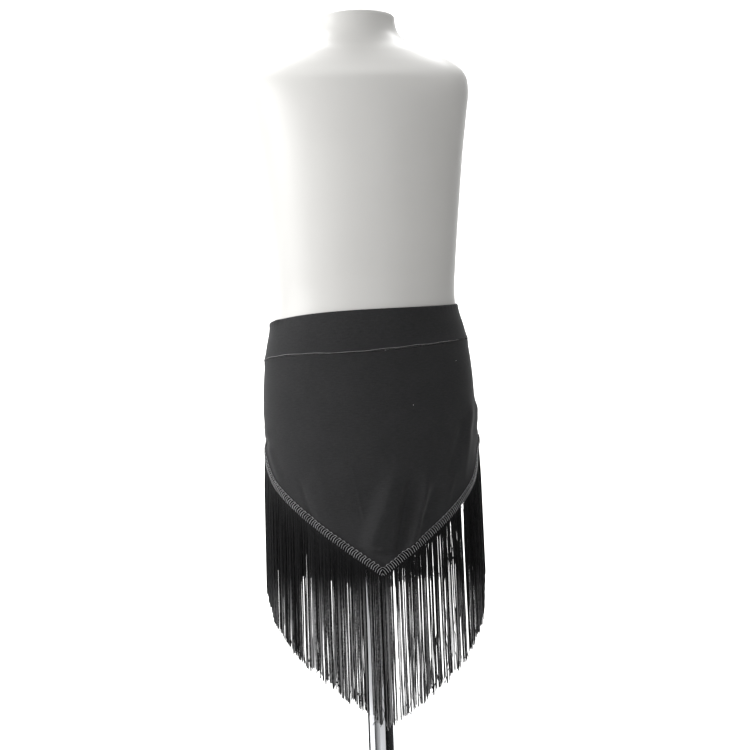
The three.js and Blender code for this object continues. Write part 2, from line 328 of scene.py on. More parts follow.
# %% Cloth helpers
def smooth_piece(name, mesh):
    for face in mesh.polygons:
        face.use_smooth = True
    piece = bpy.data.objects.new(name, mesh)
    bpy.context.collection.objects.link(piece)
    return piece


def from_bmesh(name, bm):
    mesh = bpy.data.meshes.new(name)
    bm.to_mesh(mesh)
    bm.free()
    return smooth_piece(name, mesh)


def shaped_grid(name, columns, rows, place, flat_place=lambda across, upward: (across, upward)):
    """A grid with each point at place(across, upward), both from 0 to 1, and its UV at flat_place."""
    bm = bmesh.new()
    bmesh.ops.create_grid(bm, x_segments=columns, y_segments=rows, size=0.5)
    uv = bm.loops.layers.uv.new("cut")
    for face in bm.faces:
        for loop in face.loops:
            x, y, _ = loop.vert.co
            loop[uv].uv = flat_place(x + 0.5, y + 0.5)
    for vert in bm.verts:
        vert.co = place(vert.co.x + 0.5, vert.co.y + 0.5) * MM
    return from_bmesh(name, bm)


def thicken(piece, thickness):
    wall = piece.modifiers.new("cloth thickness", "SOLIDIFY")
    wall.thickness = thickness * MM
    wall.offset = -1
    return piece


quarter = math.pi / 2
knit_thickness = 1.2
band_thickness = 1.7
seam_gap = 0.2
half_seam = seam_gap / 2 / section_at(hip_height)[1]
side_seam_dip = 0.7
side_seam_reach = 2.5


def half_angle(start, across):
    """The angle at a share across one half of the skirt, just clear of the seams at its ends."""
    return start + half_seam + across * (2 * quarter - 2 * half_seam)


def unrolled(angle, height):
    """The same place on the flat cut, as a UV in metres."""
    return arc_table[-1] * (angle / math.pi) * MM, height * MM


def seam_dip(angle):
    """The cloth turns in where two pieces are sewn together at the side."""
    to_seam = (abs(arc_at(angle)) - arc_at(quarter)) / side_seam_reach
    return side_seam_dip * math.exp(-to_seam * to_seam)


def eased(t, power=1.6):
    """Puts more grid lines near both ends of a stretch."""
    centred = 2 * t - 1
    return 0.5 + 0.5 * math.copysign(1 - (1 - abs(centred)) ** power, centred)


# %% [markdown]
# ## Panels and band
#
# The panels have enough rows for the finest crease to look soft. The band is folded double at the waist,
# so its top edge is rounded over.

# %% Front and back panels
def panel(name, start, columns, rows):
    def height_at(angle, upward):
        low = hem_height(angle)
        return low + upward * (seam_height(angle) - seam_gap / 2 - low)

    def place(across, upward):
        angle = half_angle(start, across)
        return cloth_point(angle, height_at(angle, upward), knit_thickness - seam_dip(angle))

    def flat_place(across, upward):
        angle = half_angle(start, across)
        return unrolled(angle, height_at(angle, upward))

    return thicken(shaped_grid(name, columns, rows, place, flat_place), knit_thickness)


panel_front = panel("skirt_front", -quarter, 220, 130)
panel_back = panel("skirt_back", quarter, 160, 70)
print("panel faces:", len(panel_front.data.polygons), len(panel_back.data.polygons))

# %% The yoke band
band_rows = 26
band_wall = 1.2  # the two layers as one wall, thinner than both where they are pressed together
turn_radius = 0.9
waist_ripple, ripple_rate, ripple_reach = 0.16, 0.9, 9  # the turned edge is slightly wavy


def band(name, start, columns):
    def place(across, upward):
        angle = half_angle(start, across)
        low = seam_height(angle) + seam_gap / 2
        top = waist_edge(angle)
        height = low + eased(upward) * (top - low)
        from_top = max(0.0, 1 - (top - height) / (2 * turn_radius))
        from_seam = max(0.0, 1 - (height - low) / turn_radius)
        near_waist = max(0.0, 1 - (top - height) / ripple_reach)
        out = band_thickness - seam_dip(angle) - turn_radius * from_top**2 - 0.5 * turn_radius * from_seam**2
        ripple = waist_ripple * math.sin(ripple_rate * arc_at(angle)) * near_waist
        return cloth_point(angle, height, out + ripple)

    def flat_place(across, upward):
        return unrolled(half_angle(start, across), waist_height - band_height * (1 - upward))

    return thicken(shaped_grid(name, columns, band_rows, place, flat_place), band_wall)


band_front = band("yoke_front", -quarter, 200)
band_back = band("yoke_back", quarter, 160)
print("band faces:", len(band_front.data.polygons), len(band_back.data.polygons))

# %% [markdown]
# ## Tubes along paths
#
# Cords, threads and fringe strands are all thin tubes. One curve object can hold hundreds of paths, and
# its bevel gives each of them a round section, so a whole fringe is made in one go and then turned into
# a mesh.

# %% Tube helper
def tubes(name, paths, radius):
    """One mesh of round tubes. Each path is a list of (point in millimetres, share of the radius)."""
    curve = bpy.data.curves.new(name, "CURVE")
    curve.dimensions = "3D"
    curve.bevel_depth = radius * MM
    curve.bevel_resolution = 1  # the tubes are thin, so a few faces round are enough
    curve.use_fill_caps = True
    for path in paths:
        spline = curve.splines.new("POLY")
        spline.points.add(len(path) - 1)
        for point, (place, share) in zip(spline.points, path):
            point.co = (*(place * MM), 1)
            point.radius = share
    source = bpy.data.objects.new(name + "_paths", curve)
    bpy.context.collection.objects.link(source)
    shown = source.evaluated_get(bpy.context.evaluated_depsgraph_get())
    mesh = bpy.data.meshes.new_from_object(shown)
    bpy.data.objects.remove(source)
    mesh.name = name
    return smooth_piece(name, mesh)


# %% Yoke seam thread
# A fine grey line runs along the yoke seam, drawn as stitching: its grey is partly the thread's own colour
# and partly a painted highlight along the seam's edge. Each stitch dips where the needle went through.
stitch_pitch, stitch_dip = 3.2, 0.2
thread_radius = 0.24
thread_above_seam, thread_out = 0.9, 0.05
thread_sways = ((0.5, 0.052), (0.25, 0.19))  # how far it wanders up and down, and how fast
sunk_from, sunk_to, sunk_depth = 84, 144, 0.4  # on this stretch the thread is pulled into the seam


def seam_thread(name, start):
    count = int(arc_table[-1] / stitch_pitch) * 4
    path = []
    for k in range(count + 1):
        angle = half_angle(start, k / count)
        arc = arc_at(angle)
        dip = stitch_dip * math.cos(k * quarter) + (sunk_depth if sunk_from < arc < sunk_to else 0)
        sway = sum(size * math.sin(rate * arc) for size, rate in thread_sways)
        height = seam_height(angle) + thread_above_seam + sway
        path.append((cloth_point(angle, height, band_thickness + thread_out - dip - seam_dip(angle)), 1.0))
    return tubes(name, [path], thread_radius)


thread_front = seam_thread("yoke_thread_front", -quarter)
thread_back = seam_thread("yoke_thread_back", quarter)
print("thread faces:", len(thread_front.data.polygons), len(thread_back.data.polygons))

# %% [markdown]
# ## Braided heading
#
# The fringe hangs from a woven heading about 7 mm wide. It is a flat strip with cords wrapped across it,
# square to the hem, and a thin picot thread along its top edge. The cords bow a little, away from the
# front point, where the two arms of the heading meet in a mitre. On the real trim they and the strands are
# one yarn. Here the strip is a grid, and the cords are tubes that lie on it.

# %% Place of the heading
braid_width = 6.6
braid_below_hem = 1.2
braid_lift = 0.25
strip_thickness = 1.0
tiny = 1e-3  # a small turn, for measuring a slope
search_steps = 600
sides = ((1, "left"), (-1, "right"))  # +X is the wearer's left


def hem_slope(angle):
    """How steep the hem is, and by what angle one millimetre along the hip turns."""
    run = abs(arc_at(angle + tiny) - arc_at(angle - tiny))
    return (hem_height(angle + tiny) - hem_height(angle - tiny)) / run, 2 * tiny / run


def braid_point(angle, share, out):
    """A point of the heading: share runs up from its lower edge, out is from the cloth's outer face."""
    rise = braid_width * math.hypot(1, hem_slope(angle)[0])  # upright, it is wider where the hem is steep
    return cloth_point(angle, hem_height(angle) - braid_below_hem + share * rise, knit_thickness + out)


def even_places(side, pitch):
    """Angles of places that are evenly spaced along the heading, from the front point to the back."""
    angles = [side * math.pi * k / search_steps for k in range(search_steps + 1)]
    points = [form_point(a, hip_height, ease) + Vector((0, 0, hem_height(a) - hip_height)) for a in angles]
    along = [0.0]
    for here, there in zip(points, points[1:]):
        along.append(along[-1] + (there - here).length)
    count = round(along[-1] / pitch)
    places = []
    i = 1
    for k in range(count):
        target = (k + 0.5) / count * along[-1]
        while along[i] < target:
            i += 1
        share = (target - along[i - 1]) / (along[i] - along[i - 1])
        places.append(angles[i - 1] + share * (angles[i] - angles[i - 1]))
    return places


print("the front hem rises %.2f mm in a millimetre" % hem_slope(quarter / 4)[0])

# %% Heading strip
strip_edge = 0.75  # share of its thickness that the strip has at its edges


def heading_strip(name, side):
    def place(across, upward):
        angle = half_angle(0 if side > 0 else -math.pi, across)
        crown = strip_thickness * (strip_edge + (1 - strip_edge) * math.sin(math.pi * upward))
        return braid_point(angle, upward, braid_lift + crown)

    def flat_place(across, upward):
        return across * arc_table[-1] * MM, upward * braid_width * MM

    return thicken(shaped_grid(name, 220, 5, place, flat_place), strip_thickness * strip_edge)


strips = [heading_strip("heading_strip_" + word, side) for side, word in sides]
print("strip faces:", [len(strip.data.polygons) for strip in strips])

# %% Heading cords
cord_pitch = 2.4
cord_radius = 0.34
cord_steps = 12
cord_behind = 0.1  # a cord starts this share of its drift behind its place
cord_bow = {1: 0.25, -1: 0.75}  # on +X and -X, a cord bends away from the front point by this
cord_arch, cord_uneven = 0.35, 0.06  # it arches this high over the strip, give or take a little
cord_top, cord_inset = 0.97, 0.05  # every second cord is shorter by the inset at both edges
cord_ends = 0.8  # share of the radius at its ends
mitre_gap = 0.2  # the cords of the two arms stop this far short of the centre line


def crossing(angle, side, low, high, height_at):
    """One cord's path over the heading, square to the hem and cut off at the mitre of the front point."""
    slope, millimetre = hem_slope(angle)
    drift = -braid_width * slope / math.hypot(1, slope) * millimetre
    path = []
    for step in range(cord_steps + 1):
        t = step / cord_steps
        bow = side * millimetre * cord_bow[side] * math.sin(math.pi * t)
        here = angle + drift * (t - cord_behind) + bow
        if side * arc_at(here) < mitre_gap:
            break
        place = braid_point(here, low + (high - low) * t, height_at(t))
        path.append((place, cord_ends + (1 - cord_ends) * math.sin(math.pi * t)))
    return path


def heading_cords(name, side):
    top = strip_thickness + braid_lift
    paths = []
    for k, angle in enumerate(even_places(side, cord_pitch)):
        long = k % 2
        base = top - 0.1 + cord_uneven * math.sin(k * 2.1)
        path = crossing(
            angle, side, cord_inset * (1 - long), cord_top + cord_inset * long,
            lambda t: base + cord_arch * math.sin(math.pi * t) ** 0.5,
        )
        if len(path) > 1:
            paths.append(path)
    return tubes(name, paths, cord_radius)


cords = [heading_cords("heading_cords_" + word, side) for side, word in sides]
print("cord faces:", [len(cord.data.polygons) for cord in cords])

# %% Picot edge
# The thread dives into the weave, and loops out over the top edge at every second cord.
picot_radius = 0.42
picot_steps = 3  # from one cord to the next
picot_dive, picot_lift, picot_reach = 0.7, 0.75, 0.1
picot_thin, picot_swell = 0.35, 0.6  # shares of the radius: in the weave, and what a loop adds


def heading_edges(name, side):
    top = strip_thickness + braid_lift
    picot = []
    for k, angle in enumerate(even_places(side, cord_pitch / picot_steps)):
        out = max(0.0, math.cos(math.pi * k / picot_steps))
        place = braid_point(angle, 1.0 + picot_reach * out, top - picot_dive + picot_lift * out)
        picot.append((place, picot_thin + picot_swell * out))
    return tubes(name, [picot], picot_radius)


edges = [heading_edges("heading_edge_" + word, side) for side, word in sides]
print("picot faces:", [len(edge.data.polygons) for edge in edges])

# %% [markdown]
# ## Fringe
#
# Each strand is a soft rayon chain, cut at the bottom. The strands hang plumb, but neighbours cling
# together in uneven locks, which leaves gaps between the locks. Each strand therefore parts a little from
# its even root, drifts towards its lock as it goes down, wanders by itself, and ends a few millimetres
# early or late. A few ends curl away. The fringe is not the same all round: it hangs thinner and more
# scattered on +X and fuller on -X, and here and there it parts. Small tables along the hip say where.

# %% Strand sizes
strand_pitch = 0.42
strand_radius = 0.37
strand_steps = 22
root_share = 0.03  # the strands come out this far up the heading
taper_from, taper = 1.03, 0.13
fringe_length = 141
fringe_trim = 0.045  # longer by this for each millimetre towards +X
side_trim, side_trim_at, side_trim_reach = 6, 130, 32  # and shorter by this at the sides
end_ragged = 2.6
fringe_flare = 1.6  # the ends stand this much further out than the roots
scatter = {1: 0.62, -1: 0.42}  # on +X and -X, strands part from their even roots by about this
slow_sway, quick_sway = 0.6, 0.12
part_power, drift_power = 0.15, 2.5  # strands part near the root, and drift near the end
stray_share, stray_lean, usual_lean = 0.1, 1.3, 0.3
curl_share, curl_from, curl_sizes = 0.06, 0.93, (2, 6)  # few ends curl, from this share of the length
print("strands on a side: about", len(even_places(1, strand_pitch)))

# %% Where the fringe is full and where it parts
fullness = [  # length round the hip, and the share of the full thickness
    (-300, 1.35), (-190, 1.35), (-175, 1.05), (-95, 1.26), (-60, 1.26), (-40, 1.1), (8, 0.92), (40, 1.0),
    (95, 0.84), (115, 0.8), (130, 1), (178, 1), (188, 0.55), (255, 0.55), (275, 1), (300, 1),
]
front_partings = [  # length round the hip, how far the strands draw aside, over what reach, and how low
    (-15.2, 1.2, 3.5, 0.1),
    (-4.0, 0.9, 2.5, 0.15),
    (10.5, 0.8, 4, 0.2),
    (43, 0.6, 2.5, 0.15),
    (49, 0.7, 2.5, 0.2),
    (55.2, 0.9, 2.5, 0.12),
    (61, 0.6, 2.5, 0.3),
    (66.4, 0.9, 2.5, 0.12),
    (71, 1.0, 3, 0.12),
    (79, 0.6, 2.5, 0.3),
    (88, 2.1, 5, 0.0),
]
back_partings = [
    (187, 4, 7, 0.05), (204, 1.8, 4, 0.1), (211, 1.4, 4, 0.1), (219, 1.2, 4, 0.1), (227, 1.2, 4, 0.1),
    (235, 1.2, 4, 0.1), (-230, 0.8, 5, 0.3),
]
back_short, back_short_to = 11, 211  # up to here, the back strands on +X are shorter by this


def drawn_aside(arc, partings, t):
    moved = 0.0
    for place, push, reach, lateness in partings:
        apart = arc - place
        moved += math.copysign(push * math.exp(-abs(apart) / reach) * t**lateness, apart)
    return moved


def full_at(arc):
    i = 0
    while arc > fullness[i + 1][0]:
        i += 1
    (low, less), (high, more) = fullness[i], fullness[i + 1]
    return less + (more - less) * (arc - low) / (high - low)


print("fullness at the centre front:", round(full_at(0), 2))

# %% Locks
lock_sizes = (4, 6, 8, 10, 13, 16)
lock_ragged = 3.2
lock_tightness = {1: (0.04, 0.32), -1: (0.0, 0.24)}  # share of the way to the lock's middle, on +X and -X


def locks(count, side):
    """For each strand, how many pitches it draws towards its lock's middle, and how much longer it is."""
    shares = []
    while len(shares) < count:
        size = dice.choice(lock_sizes)
        tightness = dice.uniform(*lock_tightness[side])
        longer = dice.uniform(-lock_ragged, lock_ragged)
        shares += [(tightness * ((size - 1) / 2 - k), longer) for k in range(size)]
    return shares[:count]


# %% Hang the strands
front_back_split = arc_at(quarter)


def fringe(name, side, first, last, partings):
    places = even_places(side, strand_pitch)
    turn = (places[-1] - places[0]) / (len(places) - 1)
    millimetre = abs(turn) / strand_pitch
    paths = []
    for angle, (draw, longer) in zip(places, locks(len(places), side)):
        stray = dice.random() < stray_share
        apart = dice.gauss(0, scatter[side])
        sways = [
            (dice.gauss(0, slow_sway * scatter[side]), dice.uniform(0.5, 1.5), dice.uniform(0, 2 * math.pi)),
            (dice.gauss(0, quick_sway), dice.uniform(2.5, 5), dice.uniform(0, 2 * math.pi)),
        ]
        depth = dice.uniform(-1, 1)
        lean = dice.gauss(0, stray_lean if stray else usual_lean)
        thickness = dice.uniform(0.85, 1.15)
        length = fringe_length + longer + dice.uniform(-end_ragged, end_ragged)
        curl = dice.choice((-1, 1)) * dice.uniform(*curl_sizes) if dice.random() < curl_share else 0.0
        arc = arc_at(angle)
        if not first <= abs(arc) < last:
            continue
        thickness *= full_at(arc)
        drift = lean + draw * strand_pitch * math.copysign(1, turn)
        root = braid_point(angle, root_share, strip_thickness)
        to_trim = (abs(arc) - side_trim_at) / side_trim_reach
        length += fringe_trim * root.x - side_trim * math.exp(-to_trim * to_trim)
        if partings is back_partings and 0 < arc < back_short_to:
            length -= back_short
        path = []
        for step in range(strand_steps + 1):
            t = step / strand_steps
            aside = apart * t**part_power + drift * t**drift_power
            aside += t * sum(size * math.sin(2 * math.pi * waves * t + phase) for size, waves, phase in sways)
            aside += drawn_aside(arc + aside, partings, t) + curl * max(0.0, t - curl_from) / (1 - curl_from)
            out = strip_thickness + depth * min(1, 4 * t) + fringe_flare * t
            base = braid_point(angle + millimetre * aside, root_share, out)
            path.append((Vector((base.x, base.y, root.z - t * length)), thickness * (taper_from - taper * t)))
        paths.append(path)
    return tubes(name, paths, strand_radius)


fringes = []
for side, word in sides:
    fringes.append(fringe("fringe_front_" + word, side, 0, front_back_split, front_partings))
    fringes.append(fringe("fringe_back_" + word, side, front_back_split, arc_table[-1] + 1, back_partings))
print("fringe faces:", [len(f.data.polygons) for f in fringes])

# %% [markdown]
# ## Dress form
#
# The torso is a moulded shell. It is lofted from the same sections as the frame's solid, with many more
# points, and its neck and underside are closed by extruding the open rims inwards.

# %% Torso
torso_columns, torso_rows = 144, 170


def torso(name):
    low, high = form_sections[0][0], form_sections[-1][0]
    bm = bmesh.new()
    bmesh.ops.create_grid(bm, x_segments=torso_columns, y_segments=torso_rows, size=0.5)
    for vert in bm.verts:
        angle = (vert.co.x + 0.5) * 2 * math.pi
        height = low + (vert.co.y + 0.5) * (high - low)
        vert.co = form_point(angle, height) * MM
    bmesh.ops.remove_doubles(bm, verts=bm.verts, dist=1e-6)
    for rim_height, shrink_steps in (
        (low, ((0.97, -0.6), (0.9, -0.3), (0.5, 0), (0.2, 0))),
        (high, ((0.97, 1.2), (0.9, 1.5), (0.75, 1.3), (0.45, 0.8), (0.2, 0.2))),
    ):
        rim = [e for e in bm.edges if e.is_boundary and abs(e.verts[0].co.z - rim_height * MM) < 1e-5]
        centre = sum((v.co for e in rim for v in e.verts), Vector()) / (2 * len(rim))
        previous = 1.0
        for share, rise in shrink_steps:
            grown = bmesh.ops.extrude_edge_only(bm, edges=rim)["geom"]
            ring = [v for v in grown if isinstance(v, bmesh.types.BMVert)]
            rim = [e for e in grown if isinstance(e, bmesh.types.BMEdge)]
            bmesh.ops.scale(
                bm, vec=(share / previous, share / previous, 1), verts=ring, space=Matrix.Translation(-centre)
            )
            bmesh.ops.translate(bm, vec=(0, 0, rise * MM), verts=ring)
            previous = share
        bmesh.ops.edgeloop_fill(bm, edges=rim)
    bmesh.ops.recalc_face_normals(bm, faces=bm.faces)
    return from_bmesh(name, bm)


form = torso("torso_shell")
print("torso faces:", len(form.data.polygons))

# %% [markdown]
# ## Pole, collar and base
#
# These are turned parts: half a profile, spun round the pole's axis. A bevel then breaks their edges, so
# that each one catches a thin line of light.

# %% Turned parts
def turned(name, profile, steps, edge):
    """A profile of (radius, height) in millimetres, spun round Z, with its corners bevelled by edge."""
    bm = bmesh.new()
    verts = [bm.verts.new(metres(radius, 0, height)) for radius, height in profile]
    edges = [bm.edges.new(pair) for pair in zip(verts, verts[1:])]
    bmesh.ops.spin(
        bm, geom=verts + edges, axis=(0, 0, 1), cent=(0, 0, 0), angle=2 * math.pi, steps=steps, use_merge=True
    )
    bmesh.ops.remove_doubles(bm, verts=bm.verts, dist=1e-6)
    bmesh.ops.recalc_face_normals(bm, faces=bm.faces)
    corners = [e for e in bm.edges if len(e.link_faces) == 2 and e.calc_face_angle() > math.radians(40)]
    bmesh.ops.bevel(
        bm, geom=corners, offset=edge * MM, offset_type="OFFSET", segments=3, profile=0.5,
        affect="EDGES", material=-1,
    )
    return from_bmesh(name, bm)


pole_radius = 13.2
pole_low, pole_high = 6.3, 781.7
base_radius, base_thickness = 135, 6
collar_low, collar_high, collar_radius = 6.3, 24.3, 21
collar_bore, collar_cone = pole_radius + 0.3, 4

pole_profile = [(0, pole_low), (pole_radius, pole_low), (pole_radius, pole_high), (0, pole_high)]
pole = turned("chrome_pole", pole_profile, 96, 0.6)
collar_profile = [
    (collar_bore, collar_low), (collar_radius, collar_low), (collar_radius, collar_high - collar_cone),
    (collar_radius - collar_cone, collar_high), (collar_bore, collar_high), (collar_bore, collar_low),
]
collar = turned("pole_collar", collar_profile, 96, 0.5)
base_profile = [(0, 0), (base_radius, 0), (base_radius, base_thickness), (0, base_thickness)]
base = turned("base_plate", base_profile, 160, 1.5)
print("stand faces:", [len(o.data.polygons) for o in (pole, collar, base)])

# %% [markdown]
# ## Materials
#
# One function turns hex colours to linear light. Another adds a node with its settings and links. The type
# of a node is named without the word ShaderNode in front. A link is a number, a colour, another node's
# socket, or a node, which stands for its first output.

# %% Material helpers
wave_unit = 0.314  # metres from band to band of a wave texture at scale 1


def linear(hex_colour):
    values = [int(hex_colour[i:i + 2], 16) / 255 for i in (1, 3, 5)]
    return tuple(v / 12.92 if v <= 0.04045 else ((v + 0.055) / 1.055) ** 2.4 for v in values) + (1.0,)


def add_node(tree, kind, links=None, **settings):
    made = tree.nodes.new("ShaderNode" + kind)
    for name, value in settings.items():
        setattr(made, name, value)
    for socket, value in (links or {}).items():
        if isinstance(value, bpy.types.Node):
            value = value.outputs[0]
        if isinstance(value, bpy.types.NodeSocket):
            tree.links.new(value, made.inputs[socket])
        else:
            made.inputs[socket].default_value = value
    return made


def new_material(name):
    material = bpy.data.materials.new(name)
    material.use_nodes = True
    material.node_tree.nodes.clear()
    return material, material.node_tree


def finished(material, sockets):
    """Gives a material its shader, with what its sockets hold, and its output."""
    tree = material.node_tree
    shader = add_node(tree, "BsdfPrincipled", sockets)
    add_node(tree, "OutputMaterial", {"Surface": shader}, is_active_output=True)
    return material


print("mid grey #808080 is", round(linear("#808080")[0], 3), "in linear light")

# %% [markdown]
# ### Jersey
#
# Viscose jersey with elastane, knitted fine and matt. Its stitches are chevrons in columns. At half a
# millimetre they are too fine to show, so they are drawn at twice their size. A nap of loose fibre
# lightens the cloth where it turns away, and a few specks of lint sit on it. The patterns follow the flat
# cut, so they bend with the cloth as a real knit does.

# %% Jersey material
wale, course = 1.1, 0.9  # a column of stitches and a row of them
chevron_slant, chevron_share = 2.4, 0.5
fuzz_size, drape_size, streak_size, streak_squash = 1.3, 34, 1.1, 0.22
tone_low, tone_high = 0.3, 0.7  # the noises add up to values between these
lint_pitch, lint_chosen, lint_radius = 11, 0.8, 0.028  # the radius is a share of the pitch


def jersey(name, light, dark):
    material, tree = new_material(name)
    place = add_node(tree, "UVMap", uv_map="cut")
    cut = add_node(tree, "SeparateXYZ", {0: place})

    # the stitches: rounded columns, crossed by rows that slant up beside each column's middle
    per_wale, per_course = math.pi / (wale * MM), 2 * math.pi / (course * MM)
    across = add_node(tree, "Math", {0: cut.outputs[0], 1: per_wale}, operation="MULTIPLY")
    swing = add_node(tree, "Math", {0: across}, operation="SINE")
    columns = add_node(tree, "Math", {0: swing}, operation="ABSOLUTE")
    upward = add_node(tree, "Math", {0: cut.outputs[1], 1: per_course}, operation="MULTIPLY")
    slanted = add_node(tree, "Math", {0: columns, 1: chevron_slant, 2: upward}, operation="MULTIPLY_ADD")
    chevron = add_node(tree, "Math", {0: slanted}, operation="SINE")
    stitches = add_node(tree, "Math", {0: chevron, 1: chevron_share, 2: columns}, operation="MULTIPLY_ADD")

    # the tone: streaks along the rows, fuzz, and slow changes where the cloth was worn
    rows = add_node(tree, "Mapping", {"Vector": place, "Scale": (streak_squash, 1, 1)})
    mixed = 0.0
    for where, size, detail, share in (
        (place, drape_size, 3.0, 0.25),
        (rows, streak_size, 3.0, 0.4),
        (place, fuzz_size, 4.0, 0.35),
    ):
        settings = {"Vector": where, "Scale": 1 / (size * MM), "Detail": detail}
        fuzz = add_node(tree, "TexNoise", settings)  # the last one also gives the nap its height
        mixed = add_node(tree, "Math", {0: fuzz, 1: share, 2: mixed}, operation="MULTIPLY_ADD")
    spread = add_node(tree, "MapRange", {"Value": mixed, "From Min": tone_low, "From Max": tone_high})
    tone = add_node(tree, "Mix", {0: spread, 6: linear(dark), 7: linear(light)}, data_type="RGBA").outputs[2]

    # the lint: a speck in the middle of a few cells
    lint = add_node(tree, "TexVoronoi", {"Vector": place, "Scale": 1 / (lint_pitch * MM), "Randomness": 1.0})
    draw = add_node(tree, "SeparateColor", {0: lint.outputs["Color"]})
    chosen = add_node(tree, "Math", {0: draw, 1: lint_chosen}, operation="GREATER_THAN")
    inside = add_node(tree, "Math", {0: lint.outputs["Distance"], 1: lint_radius}, operation="LESS_THAN")
    speck = add_node(tree, "Math", {0: chosen, 1: inside}, operation="MULTIPLY")
    colour = add_node(tree, "Mix", {0: speck, 6: tone, 7: linear("#c4c4c4")}, data_type="RGBA")

    nap = add_node(tree, "Math", {0: fuzz, 1: 0.9}, operation="MULTIPLY")
    height = add_node(tree, "Math", {0: stitches, 1: 0.35, 2: nap}, operation="MULTIPLY_ADD")
    bump = add_node(tree, "Bump", {"Height": height, "Strength": 0.3, "Distance": 0.15 * MM})
    return finished(material, {
        "Base Color": colour.outputs[2], "Normal": bump, "Roughness": 0.92, "Specular IOR Level": 0.22,
        "Sheen Weight": 0.14, "Sheen Roughness": 0.4, "Sheen Tint": linear("#b4b4b4"),
    })


jersey_black = jersey("black_jersey", "#323233", "#252526")
print("jersey nodes:", len(jersey_black.node_tree.nodes))

# %% [markdown]
# ### Rayon
#
# Bright rayon is a smooth, glossy fibre. Spun into a soft chain it keeps a broad sheen along the strand.
# The strands differ a little in tone, because each one turns its twist another way. Below the front point
# of the hem and near the middle, a light grey is painted onto some strands: a painted backlight, for the
# white behind showing through and round them. At the sides, where the strands are seen packed behind each
# other, none is painted, and they stay black as in shade. The heading's cords are black rayon too, but they
# are coloured light grey: a painted sheen, for the shine of the tight cords against the dark weave they cross.

# %% Rayon materials
# the painted backlight grows downwards between these heights, fades out towards the sides, and falls only on
# strands whose tone is high enough
painted_backlight_from, painted_backlight_full = 0.594, 0.54  # heights, in metres as Object coordinates are
painted_shade_from, painted_backlight_within = 0.112, 0.09  # distances to the side of the pole's axis, in metres
painted_backlight_low, painted_backlight_high = 0.46, 0.68  # strands whose tone is below the first stay black
strand_stretch = 0.35


def rayon(name, light, dark, twist, roughness, shine, painted_backlight=None):
    material, tree = new_material(name)
    place = add_node(tree, "TexCoord").outputs["Object"]
    island = add_node(tree, "NewGeometry").outputs["Random Per Island"]
    grain = add_node(tree, "TexNoise", {"Vector": place, "Scale": 1 / (2.2 * MM), "Detail": 3.0})
    strand_share = add_node(tree, "Math", {0: island, 1: 0.6}, operation="MULTIPLY")
    mixed = add_node(tree, "Math", {0: grain, 1: 0.4, 2: strand_share}, operation="MULTIPLY_ADD")
    tone = add_node(tree, "Mix", {0: mixed, 6: linear(dark), 7: linear(light)}, data_type="RGBA").outputs[2]
    # a painted backlight: light grey on the lower strands near the middle, with the sides left black, as in
    # shade
    if painted_backlight:
        split = add_node(tree, "SeparateXYZ", {0: place})
        aside = add_node(tree, "Math", {0: split.outputs[0]}, operation="ABSOLUTE")
        lower = add_node(
            tree, "MapRange",
            {"Value": split.outputs[2], "From Min": painted_backlight_from, "From Max": painted_backlight_full},
            interpolation_type="SMOOTHSTEP",
        )
        inward = add_node(tree, "MapRange", {"Value": aside, "From Min": painted_shade_from, "From Max": painted_backlight_within})
        spread = add_node(tree, "MapRange", {"Value": mixed, "From Min": painted_backlight_low, "From Max": painted_backlight_high})
        where = add_node(tree, "Math", {0: lower, 1: inward}, operation="MULTIPLY")
        share = add_node(tree, "Math", {0: where, 1: spread}, operation="MULTIPLY")
        tone = add_node(tree, "Mix", {0: share, 6: tone, 7: linear(painted_backlight)}, data_type="RGBA").outputs[2]
    stretched = add_node(tree, "Mapping", {"Vector": place, "Scale": (1, 1, strand_stretch)})
    chain = add_node(
        tree, "TexWave",
        {"Vector": stretched, "Scale": wave_unit / (twist * MM), "Distortion": 1.5, "Detail": 1.0},
        bands_direction="DIAGONAL",
    )
    bump = add_node(tree, "Bump", {"Height": chain.outputs["Fac"], "Strength": 0.6, "Distance": 0.3 * MM})
    return finished(material, {
        "Base Color": tone, "Normal": bump, "Roughness": roughness, "Specular IOR Level": shine
    })


# the light grey #8e8e8f is the painted backlight of the lower strands
rayon_strand_painted_backlight = rayon("black_rayon_chain_painted_backlight", "#1c1c1d", "#040405", 1.6, 0.5, 0.1, painted_backlight="#8e8e8f")
# the cords and picot are black rayon; their light grey is a painted sheen
rayon_cord_painted_sheen = rayon("black_rayon_cord", "#a2a2a3", "#7a7a7b", 1.1, 0.38, 0.5)
rayon_strip = rayon("black_heading_weave", "#0c0c0d", "#030304", 0.9, 0.7, 0.1)
print("strand nodes:", len(rayon_strand_painted_backlight.node_tree.nodes))

# %% Sewing thread material
# Spun polyester thread: its grey is partly its own colour and partly a painted highlight along the seam's edge.
def thread(name):
    material, tree = new_material(name)
    place = add_node(tree, "TexCoord").outputs["Object"]
    grain = add_node(tree, "TexNoise", {"Vector": place, "Scale": 1 / (1.5 * MM)})
    tone = add_node(tree, "Mix", {0: grain, 6: linear("#5a5a5a"), 7: linear("#8c8c8c")}, data_type="RGBA")
    return finished(material, {"Base Color": tone.outputs[2], "Roughness": 0.6})


thread_grey_painted_highlight = thread("grey_seam_thread_painted_highlight")

# %% [markdown]
# ### Torso, chrome and steel
#
# The torso is moulded plastic with a satin white coat, so it has a faint ripple and soft highlights. The
# pole is chromed steel tube. The base is steel, brushed in rings.

